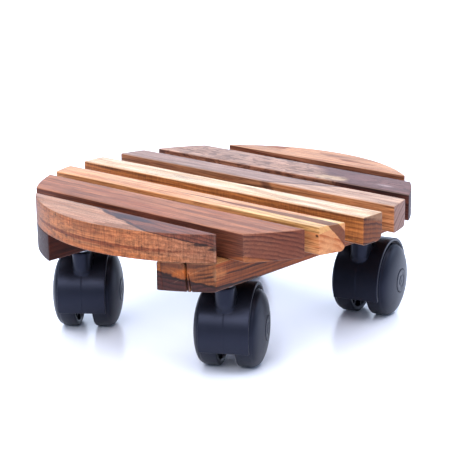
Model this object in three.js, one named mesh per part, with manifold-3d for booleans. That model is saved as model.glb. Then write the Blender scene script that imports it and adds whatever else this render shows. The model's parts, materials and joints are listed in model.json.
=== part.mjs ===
// Round slatted plant pot caddy on four hooded twin-wheel casters.
//
// Units are millimetres. The origin is on the floor, under the centre of the round top, and +Z is up.
// The slats run along X and the two crossbars under them run along Y. All boards are trimmed to one
// circle. Each caster swivels about a vertical stem screwed into a crossbar, and its two wheels turn
// on one axle that trails behind the stem.
import * as THREE from 'three';
import { mergeVertices } from 'three/addons/utils/BufferGeometryUtils.js';
import Module from 'manifold-3d';

const wasm = await Module();
wasm.setup();

// ---------------------------------------------------------------- driving dimensions
const DISC_RADIUS = 125;
const BOARD_THICKNESS = 18;
const CASTER_HEIGHT = 62.5;
const WHEEL_RADIUS = 25;
const AXLE_TRAIL = 19;
const FIT_GAP = 0.3;
// How far a cutting tool reaches past the surface it opens.
const OVERCUT = 1;

const CROSSBAR_BOTTOM = CASTER_HEIGHT;
const SLAT_BOTTOM = CROSSBAR_BOTTOM + BOARD_THICKNESS;

// Slats from front to back: the long edges' Y positions, and the Y positions of the screws that
// come up from the left and the right crossbar. The wide slats' screws keep clear of the casters.
const SLATS = [
  { name: 'slat_1_front_segment', front: -DISC_RADIUS, back: -95, screwY: [-103.5, -103.5] },
  { name: 'slat_2_wide', front: -85, back: -53.3, screwY: [-61.5, -59.5] },
  { name: 'slat_3_narrow', front: -44.5, back: -26, screwY: [-35.2, -35.2] },
  { name: 'slat_4_centre', front: -10.7, back: 8.6, screwY: [-1, -1] },
  { name: 'slat_5_narrow', front: 23.9, back: 43.7, screwY: [33.8, 33.8] },
  { name: 'slat_6_wide', front: 53.5, back: 84.6, screwY: [59.5, 78.7] },
  { name: 'slat_7_rear_segment', front: 95.2, back: DISC_RADIUS, screwY: [103.5, 103.5] },
];
const CROSSBAR_WIDTH = 31.4;
const CROSSBARS = [
  { name: 'crossbar_left', x: -61.3, segmentScrewX: -54 },
  { name: 'crossbar_right', x: 64.4, segmentScrewX: 56 },
];

// Swivel angle: the axle's direction, turned from +X towards +Y.
const CASTERS = [
  { name: 'front_left', x: -61.3, y: -74, swivel: 36.4 },
  { name: 'front_right', x: 64.4, y: -71, swivel: 29.7 },
  { name: 'rear_right', x: 64.4, y: 67, swivel: 15.7 },
  { name: 'rear_left', x: -61.3, y: 71, swivel: 22 },
];

// Countersunk screws with their heads just inside the crossbars' undersides.
const SCREW = {
  length: 30, point: 4, shank: 2, head: 4, headDepth: 2.2, headRim: 0.4, sunk: 0.1,
};

const INSERT = { radius: 6, bottom: 62.8, top: 75.5, bore: 4 + FIT_GAP };
const STEM = {
  pin: 3, pinChamfer: 0.8, groove: 2.3, grooveBottom: 49.4, grooveTop: 50.8, tip: 36,
  hexFlats: 10, hexBottom: 57.7, flange: 6.5, flangeBottom: 60.8, flangeTop: 62.2,
  thread: 4, threadChamfer: 1, top: 73,
};
const RING = {
  inner: STEM.groove + FIT_GAP, outer: 4.3, bottom: 49.6, top: 50.6, slot: 2 * STEM.groove,
};

// Angles are measured about the axle, from straight ahead up and over to the rear.
const HOOD = {
  outer: 29, wall: 2.2, halfWidth: 16, frontEnd: -18, rearEnd: 160,
  bossTop: 57.3, bossRadius: 6.6, bossChamfer: 1, bossFootRadius: 5, bossFootHeight: 33,
  webHalf: 4.6, webFront: 10, webRear: 140, hub: 7.5, hubFrom: 150, hubTo: 370,
};
const AXLE = { radius: 3, halfLength: 20.8 };
// Distances along the axle are from the caster's middle plane.
const WHEEL = {
  inner: 5.8, innerChamfer: 0.8, treadEnd: 16.2, shoulder: 16.5, apex: 23.3,
  domeRadius: 24.2, domeRings: [24, 21.5, 16.5],
  bore: AXLE.radius + FIT_GAP, hub: 5.8, rim: 21.8, recess: 3,
};
const CAP = { radius: 8, flat: 6.6, seat: 21.4, rim: 22.6, flatEdge: 23.2, crown: 23.4 };

// Numbers of segments in a full turn of each round shape, and in the web's outer and hub arcs.
const ROUND = {
  disc: 120, wheel: 24, hood: 40, boss: 20, small: 12, screw: 8, cap: 16, webOuter: 16, webHub: 10,
};

// ---------------------------------------------------------------- materials
const wood = (color) => new THREE.MeshStandardMaterial({ color, roughness: 0.6, metalness: 0 });
const boardColours = [0xb5764a, 0x8a5743, 0xd99a62, 0xcf9c68, 0x9c7264, 0x8d6f62, 0xc98a55];
const crossbarColours = [0x5e3a30, 0xb06c3f];
const plastic = new THREE.MeshStandardMaterial({ color: 0x1f2026, roughness: 0.5, metalness: 0 });
const zinc = new THREE.MeshStandardMaterial({ color: 0xb4b6ba, roughness: 0.35, metalness: 1 });
const steel = new THREE.MeshStandardMaterial({ color: 0x8d8f93, roughness: 0.3, metalness: 1 });

// ---------------------------------------------------------------- solid helpers
const degrees = (value) => (value * Math.PI) / 180;

function toManifold(geometry) {
  const plain = geometry.clone();
  plain.deleteAttribute('normal');
  plain.deleteAttribute('uv');
  const merged = mergeVertices(plain, 1e-4);
  return new wasm.Manifold(new wasm.Mesh({
    numProp: 3,
    vertProperties: new Float32Array(merged.attributes.position.array),
    triVerts: new Uint32Array(merged.index.array),
  }));
}

function fromManifold(solid) {
  const mesh = solid.getMesh();
  const geometry = new THREE.BufferGeometry();
  geometry.setAttribute('position', new THREE.BufferAttribute(new Float32Array(mesh.vertProperties), 3));
  geometry.setIndex(new THREE.BufferAttribute(new Uint32Array(mesh.triVerts), 1));
  geometry.computeVertexNormals();
  return geometry;
}

// A straight prism: the outline lies in XY and is extruded along +Z from bottom to top.
function prism(outline, bottom, top) {
  const geometry = new THREE.ExtrudeGeometry(outline, {
    depth: top - bottom, bevelEnabled: false, curveSegments: 1,
  });
  geometry.translate(0, 0, bottom);
  return geometry;
}

// A turned solid about Z. The profile is a list of [radius, height] points.
function turned(profile, segments) {
  const points = profile.map(([radius, height]) => new THREE.Vector2(radius, height));
  const geometry = new THREE.LatheGeometry(points, segments);
  geometry.rotateX(Math.PI / 2);
  return geometry;
}

const rod = (radius, bottom, top, segments) => turned(
  [[0, bottom], [radius, bottom], [radius, top], [0, top]], segments,
);

// A tube wall about Z, with its profile closed on itself.
const sleeve = (inner, outer, bottom, top, segments) => turned(
  [[inner, bottom], [outer, bottom], [outer, top], [inner, top], [inner, bottom]], segments,
);

// ---------------------------------------------------------------- boards
// Points on the trimming circle from one angle to another, on a fixed angular grid between the ends.
function circlePoints(startAngle, endAngle) {
  const step = (2 * Math.PI) / ROUND.disc;
  const points = [];
  const add = (angle) => points.push(
    new THREE.Vector2(DISC_RADIUS * Math.cos(angle), DISC_RADIUS * Math.sin(angle)),
  );
  add(startAngle);
  for (let i = Math.floor(startAngle / step) + 1; i * step < endAngle - step / 4; i += 1) {
    if (i * step > startAngle + step / 4) add(i * step);
  }
  add(endAngle);
  return points;
}

// The part of the disc between two straight cuts at low < high on the Y axis.
function discStrip(low, high) {
  const right = circlePoints(Math.asin(low / DISC_RADIUS), Math.asin(high / DISC_RADIUS));
  const left = circlePoints(
    Math.PI - Math.asin(high / DISC_RADIUS), Math.PI - Math.asin(low / DISC_RADIUS),
  );
  const outline = [...right, ...left];
  return outline.filter((point, index) => (
    point.distanceTo(outline[(index + 1) % outline.length]) > 1e-6
  ));
}

// One screw comes up through each crossbar into each slat. Under the end segments it stands nearer
// the disc's middle, where the segment is deeper.
const SCREWS = SLATS.flatMap((slat) => CROSSBARS.map((crossbar, side) => {
  const segment = Math.max(-slat.front, slat.back) === DISC_RADIUS;
  return {
    name: `${slat.name.slice(0, 6)}_screw_${side ? 'right' : 'left'}`,
    slat,
    crossbar,
    x: segment ? crossbar.segmentScrewX : crossbar.x,
    y: slat.screwY[side],
  };
}));

// A countersunk screw standing head down on the crossbar's underside, grown by a clearance.
function screwGeometry(x, y, clearance) {
  const { shank, head } = SCREW;
  const foot = CROSSBAR_BOTTOM + (clearance ? -OVERCUT : SCREW.sunk);
  const neck = CROSSBAR_BOTTOM + SCREW.headDepth;
  const tip = CROSSBAR_BOTTOM + SCREW.length;
  const geometry = turned([
    [0, foot],
    [head + clearance, foot],
    [head + clearance, CROSSBAR_BOTTOM + SCREW.headRim],
    [shank + clearance, neck + clearance],
    [shank + clearance, tip - SCREW.point],
    [0, tip + clearance],
  ], ROUND.screw);
  geometry.translate(x, y, 0);
  return geometry;
}

function drill(board, screws) {
  return screws.reduce(
    (cut, { x, y }) => cut.subtract(toManifold(screwGeometry(x, y, FIT_GAP))), board,
  );
}

function slatGeometry(slat) {
  const outline = new THREE.Shape(discStrip(slat.front, slat.back));
  const board = toManifold(prism(outline, SLAT_BOTTOM, SLAT_BOTTOM + BOARD_THICKNESS));
  return fromManifold(drill(board, SCREWS.filter((screw) => screw.slat === slat)));
}

function crossbarGeometry(crossbar) {
  const low = crossbar.x - CROSSBAR_WIDTH / 2;
  const strip = discStrip(low, low + CROSSBAR_WIDTH);
  const outline = new THREE.Shape(strip.map((point) => new THREE.Vector2(point.y, point.x)).reverse());
  let board = toManifold(prism(outline, CROSSBAR_BOTTOM, SLAT_BOTTOM));
  board = drill(board, SCREWS.filter((screw) => screw.crossbar === crossbar));
  for (const caster of CASTERS.filter((item) => item.x === crossbar.x)) {
    const socket = rod(
      INSERT.radius + FIT_GAP, CROSSBAR_BOTTOM - OVERCUT, INSERT.top + FIT_GAP, ROUND.small,
    );
    socket.translate(caster.x, caster.y, 0);
    board = board.subtract(toManifold(socket));
  }
  return fromManifold(board);
}

// ---------------------------------------------------------------- caster pieces
// Each caster is drawn about its own stem axis, with heights from the floor. The axle is parallel
// to local X and lies at local Y = AXLE_TRAIL. The hood's front, with the stem boss, faces local -Y.

function stemGeometry() {
  const turnedParts = turned([
    [0, STEM.tip], [STEM.pin - STEM.pinChamfer, STEM.tip], [STEM.pin, STEM.tip + STEM.pinChamfer],
    [STEM.pin, STEM.grooveBottom], [STEM.groove, STEM.grooveBottom],
    [STEM.groove, STEM.grooveTop], [STEM.pin, STEM.grooveTop],
    [STEM.pin, STEM.flangeBottom], [STEM.flange, STEM.flangeBottom],
    [STEM.flange, STEM.flangeTop], [STEM.thread, STEM.flangeTop],
    [STEM.thread, STEM.top - STEM.threadChamfer], [STEM.thread - STEM.threadChamfer, STEM.top],
    [0, STEM.top],
  ], ROUND.small);
  const hexCorner = STEM.hexFlats / 2 / Math.cos(degrees(30));
  const hexTop = (STEM.flangeBottom + STEM.flangeTop) / 2;
  const hexagon = rod(hexCorner, STEM.hexBottom, hexTop, 6);
  return fromManifold(toManifold(turnedParts).add(toManifold(hexagon)));
}

const insertGeometry = () => sleeve(
  INSERT.bore, INSERT.radius, INSERT.bottom, INSERT.top, ROUND.small,
);

// The retaining ring is an open clip: a washer with a slot at one side.
function ringGeometry() {
  const slot = new THREE.BoxGeometry(RING.outer, RING.slot, RING.outer);
  slot.translate(RING.outer, 0, (RING.bottom + RING.top) / 2);
  const washer = sleeve(RING.inner, RING.outer, RING.bottom, RING.top, ROUND.small);
  return fromManifold(toManifold(washer).subtract(toManifold(slot)));
}

// Turns a solid made about Z into one about the axle, with local +X along the old +Z.
function ontoAxle(geometry) {
  geometry.rotateY(Math.PI / 2);
  geometry.translate(0, AXLE_TRAIL, WHEEL_RADIUS);
  return geometry;
}

// An outline in the hood's side view, extruded across the width: X of the outline is forward
// (local -Y) and Y of the outline is up, both measured from the axle.
function acrossAxle(outline, halfWidth) {
  const geometry = prism(outline, -halfWidth, halfWidth);
  const basis = new THREE.Matrix4().makeBasis(
    new THREE.Vector3(0, -1, 0), new THREE.Vector3(0, 0, 1), new THREE.Vector3(-1, 0, 0),
  );
  geometry.applyMatrix4(basis);
  geometry.translate(0, AXLE_TRAIL, WHEEL_RADIUS);
  return geometry;
}

function arcPoints(radius, from, to, count) {
  return Array.from({ length: count + 1 }, (_, i) => {
    const angle = degrees(from + ((to - from) * i) / count);
    return new THREE.Vector2(radius * Math.cos(angle), radius * Math.sin(angle));
  });
}

function hoodGeometry() {
  const inner = HOOD.outer - HOOD.wall;
  const span = HOOD.rearEnd - HOOD.frontEnd;
  const steps = Math.round((ROUND.hood * span) / 360);
  const shell = acrossAxle(new THREE.Shape([
    ...arcPoints(HOOD.outer, HOOD.frontEnd, HOOD.rearEnd, steps),
    ...arcPoints(inner, HOOD.rearEnd, HOOD.frontEnd, steps),
  ]), HOOD.halfWidth);

  const boss = turned([
    [0, HOOD.bossFootHeight], [HOOD.bossFootRadius, HOOD.bossFootHeight],
    [HOOD.bossRadius, HOOD.bossTop - HOOD.bossChamfer],
    [HOOD.bossRadius - HOOD.bossChamfer, HOOD.bossTop], [0, HOOD.bossTop],
  ], ROUND.boss);
  const wheelSpace = acrossAxle(
    new THREE.Shape(arcPoints(inner, 0, 360, ROUND.hood).slice(1)), HOOD.halfWidth,
  );

  const web = acrossAxle(new THREE.Shape([
    ...arcPoints(inner + HOOD.wall / 2, HOOD.webFront, HOOD.webRear, ROUND.webOuter),
    ...arcPoints(HOOD.hub, HOOD.hubFrom, HOOD.hubTo, ROUND.webHub),
  ]), HOOD.webHalf);

  const bore = rod(
    STEM.pin + FIT_GAP, STEM.tip - OVERCUT, HOOD.bossTop + OVERCUT, ROUND.small,
  );
  const ringPocket = rod(
    RING.outer + FIT_GAP, RING.bottom - FIT_GAP, RING.top + FIT_GAP, ROUND.small,
  );
  const axleBore = ontoAxle(rod(
    AXLE.radius + FIT_GAP, -HOOD.webHalf - OVERCUT, HOOD.webHalf + OVERCUT, ROUND.small,
  ));

  return fromManifold(
    toManifold(boss).subtract(toManifold(wheelSpace))
      .add(toManifold(shell))
      .add(toManifold(web))
      .subtract(toManifold(bore))
      .subtract(toManifold(ringPocket))
      .subtract(toManifold(axleBore)),
  );
}

// A wheel as a turned profile of [radius, distance from the caster's middle plane]: a flat tread,
// a domed outer face with a seat for the hub cap, and a shallow recess in the inner face.
function wheelGeometry(side) {
  const domeAt = (radius) => WHEEL.shoulder
    + (WHEEL.apex - WHEEL.shoulder) * Math.sqrt(1 - (radius / WHEEL.domeRadius) ** 2);
  const dome = WHEEL.domeRings.map((radius) => [radius, domeAt(radius)]);
  const seatRadius = CAP.radius + FIT_GAP;
  const profile = [
    [WHEEL.bore, WHEEL.inner], [WHEEL.hub, WHEEL.inner],
    [WHEEL.hub, WHEEL.inner + WHEEL.recess], [WHEEL.rim, WHEEL.inner + WHEEL.recess],
    [WHEEL.rim, WHEEL.inner], [WHEEL_RADIUS - WHEEL.innerChamfer, WHEEL.inner],
    [WHEEL_RADIUS, WHEEL.inner + WHEEL.innerChamfer], [WHEEL_RADIUS, WHEEL.treadEnd],
    ...dome,
    [seatRadius, domeAt(seatRadius)], [seatRadius, CAP.seat], [WHEEL.bore, CAP.seat],
    [WHEEL.bore, WHEEL.inner],
  ];
  const geometry = turned(profile, ROUND.wheel);
  if (side < 0) geometry.rotateX(Math.PI);
  return ontoAxle(geometry);
}

function capGeometry(side) {
  const geometry = turned([
    [0, CAP.seat + FIT_GAP], [CAP.radius, CAP.seat + FIT_GAP], [CAP.radius, CAP.rim],
    [CAP.flat, CAP.flatEdge], [0, CAP.crown],
  ], ROUND.cap);
  if (side < 0) geometry.rotateX(Math.PI);
  return ontoAxle(geometry);
}

const axleGeometry = () => ontoAxle(
  rod(AXLE.radius, -AXLE.halfLength, AXLE.halfLength, ROUND.small),
);

// ---------------------------------------------------------------- assembly
function piece(name, geometry, material) {
  const mesh = new THREE.Mesh(geometry, material);
  mesh.name = name;
  return mesh;
}

const caddy = new THREE.Group();

SLATS.forEach((slat, index) => {
  caddy.add(piece(slat.name, slatGeometry(slat), wood(boardColours[index])));
});
CROSSBARS.forEach((crossbar, index) => {
  caddy.add(piece(crossbar.name, crossbarGeometry(crossbar), wood(crossbarColours[index])));
});
for (const { name, x, y } of SCREWS) {
  caddy.add(piece(name, screwGeometry(x, y, 0), zinc));
}

for (const { name, x, y, swivel } of CASTERS) {
  const caster = new THREE.Group();
  caster.position.set(x, y, 0);
  caster.rotation.z = degrees(swivel);
  caster.add(
    piece(`${name}_stem`, stemGeometry(), zinc),
    piece(`${name}_retaining_ring`, ringGeometry(), steel),
    piece(`${name}_hood`, hoodGeometry(), plastic),
    piece(`${name}_axle`, axleGeometry(), steel),
    piece(`${name}_wheel_a`, wheelGeometry(-1), plastic),
    piece(`${name}_wheel_b`, wheelGeometry(1), plastic),
    piece(`${name}_hub_cap_a`, capGeometry(-1), plastic),
    piece(`${name}_hub_cap_b`, capGeometry(1), plastic),
  );
  const insert = piece(`${name}_insert_nut`, insertGeometry(), zinc);
  insert.position.set(x, y, 0);
  caddy.add(insert, caster);
}

export default caddy;
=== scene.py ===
"""Plant pot caddy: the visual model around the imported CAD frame.

Lengths are in metres in the row's frame: the floor is z = 0, the slats run along X and the
crossbars along Y. Sizes written in millimetres are multiplied by MM. Inside the wood materials
everything is in millimetres, with u along the grain, v across it and w up from the slats' top.
"""
import json
import math

import bmesh
import bpy
from mathutils import Matrix, Vector, noise


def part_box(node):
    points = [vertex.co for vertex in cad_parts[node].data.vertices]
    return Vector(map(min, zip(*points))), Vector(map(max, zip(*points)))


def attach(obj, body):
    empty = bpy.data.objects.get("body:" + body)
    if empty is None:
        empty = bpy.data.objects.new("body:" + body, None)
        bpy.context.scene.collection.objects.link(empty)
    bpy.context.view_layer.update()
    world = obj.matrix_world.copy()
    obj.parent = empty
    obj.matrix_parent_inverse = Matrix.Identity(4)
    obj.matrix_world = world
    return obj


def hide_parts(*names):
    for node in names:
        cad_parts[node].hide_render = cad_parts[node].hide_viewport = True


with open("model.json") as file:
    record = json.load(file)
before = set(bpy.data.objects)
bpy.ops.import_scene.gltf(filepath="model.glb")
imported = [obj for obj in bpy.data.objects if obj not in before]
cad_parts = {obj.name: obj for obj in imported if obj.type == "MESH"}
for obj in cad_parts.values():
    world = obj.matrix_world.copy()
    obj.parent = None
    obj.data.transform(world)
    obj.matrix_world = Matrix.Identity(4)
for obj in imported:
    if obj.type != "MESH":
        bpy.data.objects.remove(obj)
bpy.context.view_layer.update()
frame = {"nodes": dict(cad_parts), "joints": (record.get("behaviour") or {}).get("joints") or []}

MM = 0.001
NODES = frame["nodes"]
JOINTS = {joint["name"]: joint for joint in frame["joints"]}
SLATS = sorted(n for n in NODES if n.startswith("slat_") and "_screw_" not in n)
CROSSBARS = ["crossbar_left", "crossbar_right"]
SCREWS = sorted(n for n in NODES if "_screw_" in n)
CASTERS = ["front_left", "front_right", "rear_right", "rear_left"]

DISC_RADIUS = 125 * MM
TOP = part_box("slat_4_centre")[1].z
CROSSBAR_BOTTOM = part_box("crossbar_left")[0].z


# ------------------------------------------------------------------ camera, stage and light
CAMERA_PLACE = (0.6527, -0.7227, 0.3359)
CAMERA_AZIMUTH, CAMERA_PITCH, CAMERA_ROLL = -41.58, 15.73, -0.66
CAMERA_LENS, CAMERA_SENSOR = 113.8, 36


def add_camera():
    """A long lens a little above the top, turned so that the slats run down to the right."""
    azimuth, pitch, roll = map(math.radians, (CAMERA_AZIMUTH, CAMERA_PITCH, CAMERA_ROLL))
    forward = Vector((
        math.sin(azimuth) * math.cos(pitch), math.cos(azimuth) * math.cos(pitch), -math.sin(pitch),
    ))
    level = forward.cross(Vector((0, 0, 1))).normalized()
    upright = level.cross(forward)
    right = level * math.cos(roll) + upright * math.sin(roll)
    up = upright * math.cos(roll) - level * math.sin(roll)
    camera = bpy.data.objects.new("camera", bpy.data.cameras.new("camera"))
    camera.data.lens = CAMERA_LENS
    camera.data.sensor_width = CAMERA_SENSOR
    rotation = Matrix((right, up, -forward)).transposed().to_4x4()
    camera.matrix_world = Matrix.Translation(CAMERA_PLACE) @ rotation
    bpy.context.scene.collection.objects.link(camera)
    bpy.context.scene.camera = camera


def add_softbox(name, place, target, size, power, color):
    """A rectangular area light at a place, facing its target."""
    light = bpy.data.lights.new(name, "AREA")
    light.shape = "RECTANGLE"
    light.size, light.size_y = size
    light.energy = power
    light.color = color
    lamp = bpy.data.objects.new(name, light)
    lamp.location = place
    lamp.rotation_euler = (Vector(target) - Vector(place)).to_track_quat("-Z", "Y").to_euler()
    bpy.context.scene.collection.objects.link(lamp)


FLOOR_SIZE = 12
FLOOR_COLOR, FLOOR_ROUGHNESS = (0.87, 0.90, 1.0, 1), 0.25
SURROUND_COLOR, SURROUND_STRENGTH = (0.6, 0.73, 1.0, 1), 0.8
SURROUND_SEEN = (0.94, 0.96, 1.0, 1)
SUN_STRENGTH, SUN_ANGLE, SUN_DIRECTION = 5.6, 75, (-0.05, 0.15, -1)
# Each softbox's name, place, target, size, power and colour.
SOFTBOXES = [
    ("key", (0.55, -1.45, 1.05), (0, 0, 0.04), (0.9, 0.45), 13, (1, 1, 1)),
    ("rim", (0.9, 1.6, 0.7), (0, 0, 0.06), (1.6, 0.7), 7, (0.72, 0.83, 1)),
    ("back", (-1.7, 1.8, 0.9), (0, 0, 0), (2.4, 1.1), 20, (0.75, 0.84, 1)),
]


def add_floor():
    """A glossy floor, white with a hint of blue."""
    bpy.ops.mesh.primitive_plane_add(size=FLOOR_SIZE, location=(0, 0, 0))
    floor = bpy.context.object
    floor.name = "studio_floor"
    material = bpy.data.materials.new("studio_floor")
    material.use_nodes = True
    shader = material.node_tree.nodes["Principled BSDF"]
    shader.inputs["Base Color"].default_value = FLOOR_COLOR
    shader.inputs["Roughness"].default_value = FLOOR_ROUGHNESS
    floor.data.materials.append(material)


def add_surround():
    """A surround that lights the scene in pale blue and looks nearly white behind it."""
    scene = bpy.context.scene
    scene.view_settings.view_transform = "Standard"
    scene.world = bpy.data.worlds.new("studio")
    scene.world.use_nodes = True
    tree = scene.world.node_tree
    surround = tree.nodes["Background"]
    surround.inputs["Color"].default_value = SURROUND_COLOR
    surround.inputs["Strength"].default_value = SURROUND_STRENGTH
    seen = tree.nodes.new("ShaderNodeBackground")
    seen.inputs["Color"].default_value = SURROUND_SEEN
    chooser = tree.nodes.new("ShaderNodeMixShader")
    path = tree.nodes.new("ShaderNodeLightPath")
    tree.links.new(path.outputs["Is Camera Ray"], chooser.inputs[0])
    tree.links.new(surround.outputs[0], chooser.inputs[1])
    tree.links.new(seen.outputs[0], chooser.inputs[2])
    tree.links.new(chooser.outputs[0], tree.nodes["World Output"].inputs["Surface"])


def add_lights():
    """A wide soft sun from above, a low softbox in front and two bluish ones behind."""
    sun = bpy.data.lights.new("soft_sun", "SUN")
    sun.energy = SUN_STRENGTH
    sun.angle = math.radians(SUN_ANGLE)
    lamp = bpy.data.objects.new("soft_sun", sun)
    lamp.rotation_euler = Vector(SUN_DIRECTION).to_track_quat("-Z", "Y").to_euler()
    bpy.context.scene.collection.objects.link(lamp)
    for softbox in SOFTBOXES:
        add_softbox(*softbox)


# ------------------------------------------------------------------ mesh helpers
SMOOTH_ANGLE = 35
BEVEL_ANGLE = 30


def link(name, mesh):
    """Puts a mesh in the scene as a piece, smooth apart from its sharp edges."""
    piece = bpy.data.objects.new(name, mesh)
    bpy.context.scene.collection.objects.link(piece)
    mesh.shade_smooth()
    mesh.set_sharp_from_angle(angle=math.radians(SMOOTH_ANGLE))
    return piece


def mesh_from(name, vertices, faces, merge=False):
    """A mesh from its vertices and faces, with every normal turned outward."""
    mesh = bpy.data.meshes.new(name)
    mesh.from_pydata([tuple(v) for v in vertices], [], faces)
    bm = bmesh.new()
    bm.from_mesh(mesh)
    if merge:
        bmesh.ops.remove_doubles(bm, verts=bm.verts, dist=1e-7)
    bmesh.ops.recalc_face_normals(bm, faces=bm.faces)
    bm.to_mesh(mesh)
    bm.free()
    return mesh


def loft(rings):
    """Vertices and faces of a skin over closed rings. A ring of one point ends it in a fan."""
    vertices, faces, starts = [], [], []
    for ring in rings:
        starts.append(len(vertices))
        vertices += ring
    for here, after, start, next_start in zip(rings, rings[1:], starts, starts[1:]):
        count = max(len(here), len(after))
        for i in range(count):
            j = (i + 1) % count
            if len(here) == 1:
                faces.append((start, next_start + i, next_start + j))
            elif len(after) == 1:
                faces.append((start + i, next_start, start + j))
            else:
                faces.append((start + i, next_start + i, next_start + j, start + j))
    return vertices, faces


def turned(name, profile, segments, axis="Z"):
    """A mesh turned about an axis, from (along the axis, radius) points in millimetres.

    A profile that doesn't start and end on the axis is closed on itself.
    """
    rings = []
    for along, radius in profile:
        if radius <= 0:
            ring = [(0, 0)]
        else:
            turns = [2 * math.pi * i / segments for i in range(segments)]
            ring = [(radius * math.cos(t), radius * math.sin(t)) for t in turns]
        if axis == "Z":
            rings.append([Vector((p, q, along)) * MM for p, q in ring])
        else:
            rings.append([Vector((along, p, q)) * MM for p, q in ring])
    hollow = profile[0][1] > 0
    if hollow:
        rings.append(rings[0])
    return mesh_from(name, *loft(rings), merge=hollow)


def prism(name, outline, low, high, basis=None):
    """A straight prism from an outline in XY, in millimetres."""
    rings = [[Vector((x, y, z)) * MM for x, y in outline] for z in (low, high)]
    vertices, faces = loft(rings)
    count = len(outline)
    faces += [tuple(range(count)), tuple(range(count, 2 * count))]
    mesh = mesh_from(name, vertices, faces)
    if basis:
        mesh.transform(basis)
    return mesh


def arc(radius, start, end, count):
    """Points on a circle about the origin of a plane, with the angles in degrees."""
    angles = [math.radians(start + (end - start) * i / count) for i in range(count + 1)]
    return [(radius * math.cos(a), radius * math.sin(a)) for a in angles]


def apply_modifiers(piece):
    """Gives a piece its evaluated mesh for good, and drops its modifiers."""
    graph = bpy.context.evaluated_depsgraph_get()
    mesh = bpy.data.meshes.new_from_object(piece.evaluated_get(graph))
    piece.modifiers.clear()
    piece.data = mesh
    return piece


def carve(piece, cutters, operation="DIFFERENCE"):
    """Cuts (or joins) other meshes out of a piece, and leaves one mesh."""
    tools = []
    for index, cutter in enumerate(cutters):
        tool = link(f"tool_{index}", cutter)
        tools.append(tool)
        modifier = piece.modifiers.new("carve", "BOOLEAN")
        modifier.operation = operation
        modifier.solver = "EXACT"
        modifier.object = tool
    apply_modifiers(piece)
    for tool in tools:
        bpy.data.objects.remove(tool)
    return piece


def bevel(piece, width):
    """Rounds a piece's sharp edges, with the width in millimetres."""
    modifier = piece.modifiers.new("bevel", "BEVEL")
    modifier.width = width * MM
    modifier.segments = 2
    modifier.limit_method = "ANGLE"
    modifier.angle_limit = math.radians(BEVEL_ANGLE)
    modifier.use_clamp_overlap = True
    return apply_modifiers(piece)


def smooth_max(a, b, blend):
    """The larger of two heights, with a fillet of about that size where they meet."""
    gap = max(blend - abs(a - b), 0) / blend
    return max(a, b) + gap * gap * blend / 4


def smooth_step(low, high, value):
    """0 below low and 1 above high, with a smooth change between."""
    t = min(max((value - low) / (high - low), 0), 1)
    return t * t * (3 - 2 * t)


# ------------------------------------------------------------------ boards
# How far the ends of a board, the edges of a segment and its two tips are rounded.
EASE, SEGMENT_EASE, SEGMENT_CORNER = 0.55 * MM, 0.6 * MM, 0.7 * MM
WEAR_DEPTH = 0.07 * MM
WEAR_SCALE = (14, 60, 60)
CORNER_STEPS, END_STEPS = 5, 4
WIDE_STEPS, TALL_STEPS = 8, 4
BOARD_STATIONS = 60
ARC_STEPS, CHORD_STEPS, TIP_STEPS = 120, 60, 8


def board_section(low, high, bottom, top, radii):
    """A board's section as a closed loop of (across, up) points with their outward normals.

    radii are those of the low-bottom, high-bottom, high-top and low-top edges.
    """
    corners = [
        (low + radii[0], bottom + radii[0], 180), (high - radii[1], bottom + radii[1], 270),
        (high - radii[2], top - radii[2], 0), (low + radii[3], top - radii[3], 90),
    ]
    loop = []
    for index, (x, y, start) in enumerate(corners):
        centre = Vector((x, y))
        for i in range(CORNER_STEPS + 1):
            angle = math.radians(start + 90 * i / CORNER_STEPS)
            normal = Vector((math.cos(angle), math.sin(angle)))
            loop.append((centre + radii[index] * normal, normal))
        after = (index + 1) % 4
        next_x, next_y, _ = corners[after]
        first, last = loop[-1][0], Vector((next_x, next_y)) + radii[after] * normal
        count = WIDE_STEPS if index % 2 == 0 else TALL_STEPS
        loop += [(first.lerp(last, i / count), normal) for i in range(1, count)]
    return loop


def worn(point, normal, seed):
    """Moves a board's skin in a little, so that no face is perfectly flat."""
    x, y, z = WEAR_SCALE
    place = Vector((point.x * x, point.y * y, point.z * z + seed))
    return point - normal * WEAR_DEPTH * (1 + noise.noise(place))


def board_mesh(name, section, seed):
    """A board with its section along X, its ends trimmed to the disc and their edges rounded."""
    centre = sum((point for point, _ in section), Vector((0, 0))) / len(section)

    def ring(side, inset, pull, scale=1.0):
        points = []
        for point, normal in section:
            across, up = centre + (point - inset * normal - centre) * scale
            reach = math.sqrt(DISC_RADIUS ** 2 - across ** 2) - pull
            outward = Vector((0, normal.x, normal.y))
            points.append(worn(Vector((side * reach, across, up)), outward, seed))
        return points

    caps = []
    for side in (-1, 1):
        reach = math.sqrt(DISC_RADIUS ** 2 - centre.x ** 2)
        cap = [[Vector((side * reach, *centre))]]
        cap += [ring(side, EASE, 0, scale) for scale in (0.25, 0.5, 0.75, 1.0)]
        for i in range(1, END_STEPS + 1):
            angle = math.pi / 2 * i / END_STEPS
            cap.append(ring(side, EASE * (1 - math.sin(angle)), EASE * (1 - math.cos(angle))))
        caps.append(cap)
    body = []
    for i in range(1, BOARD_STATIONS):
        share = i / BOARD_STATIONS
        ring_points = []
        for (point, normal), start, end in zip(section, caps[0][-1], caps[1][-1]):
            along = start.x + (end.x - start.x) * share
            outward = Vector((0, normal.x, normal.y))
            ring_points.append(worn(Vector((along, *point)), outward, seed))
        body.append(ring_points)
    return mesh_from(name, *loft(caps[0] + body + caps[1][::-1]))


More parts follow.
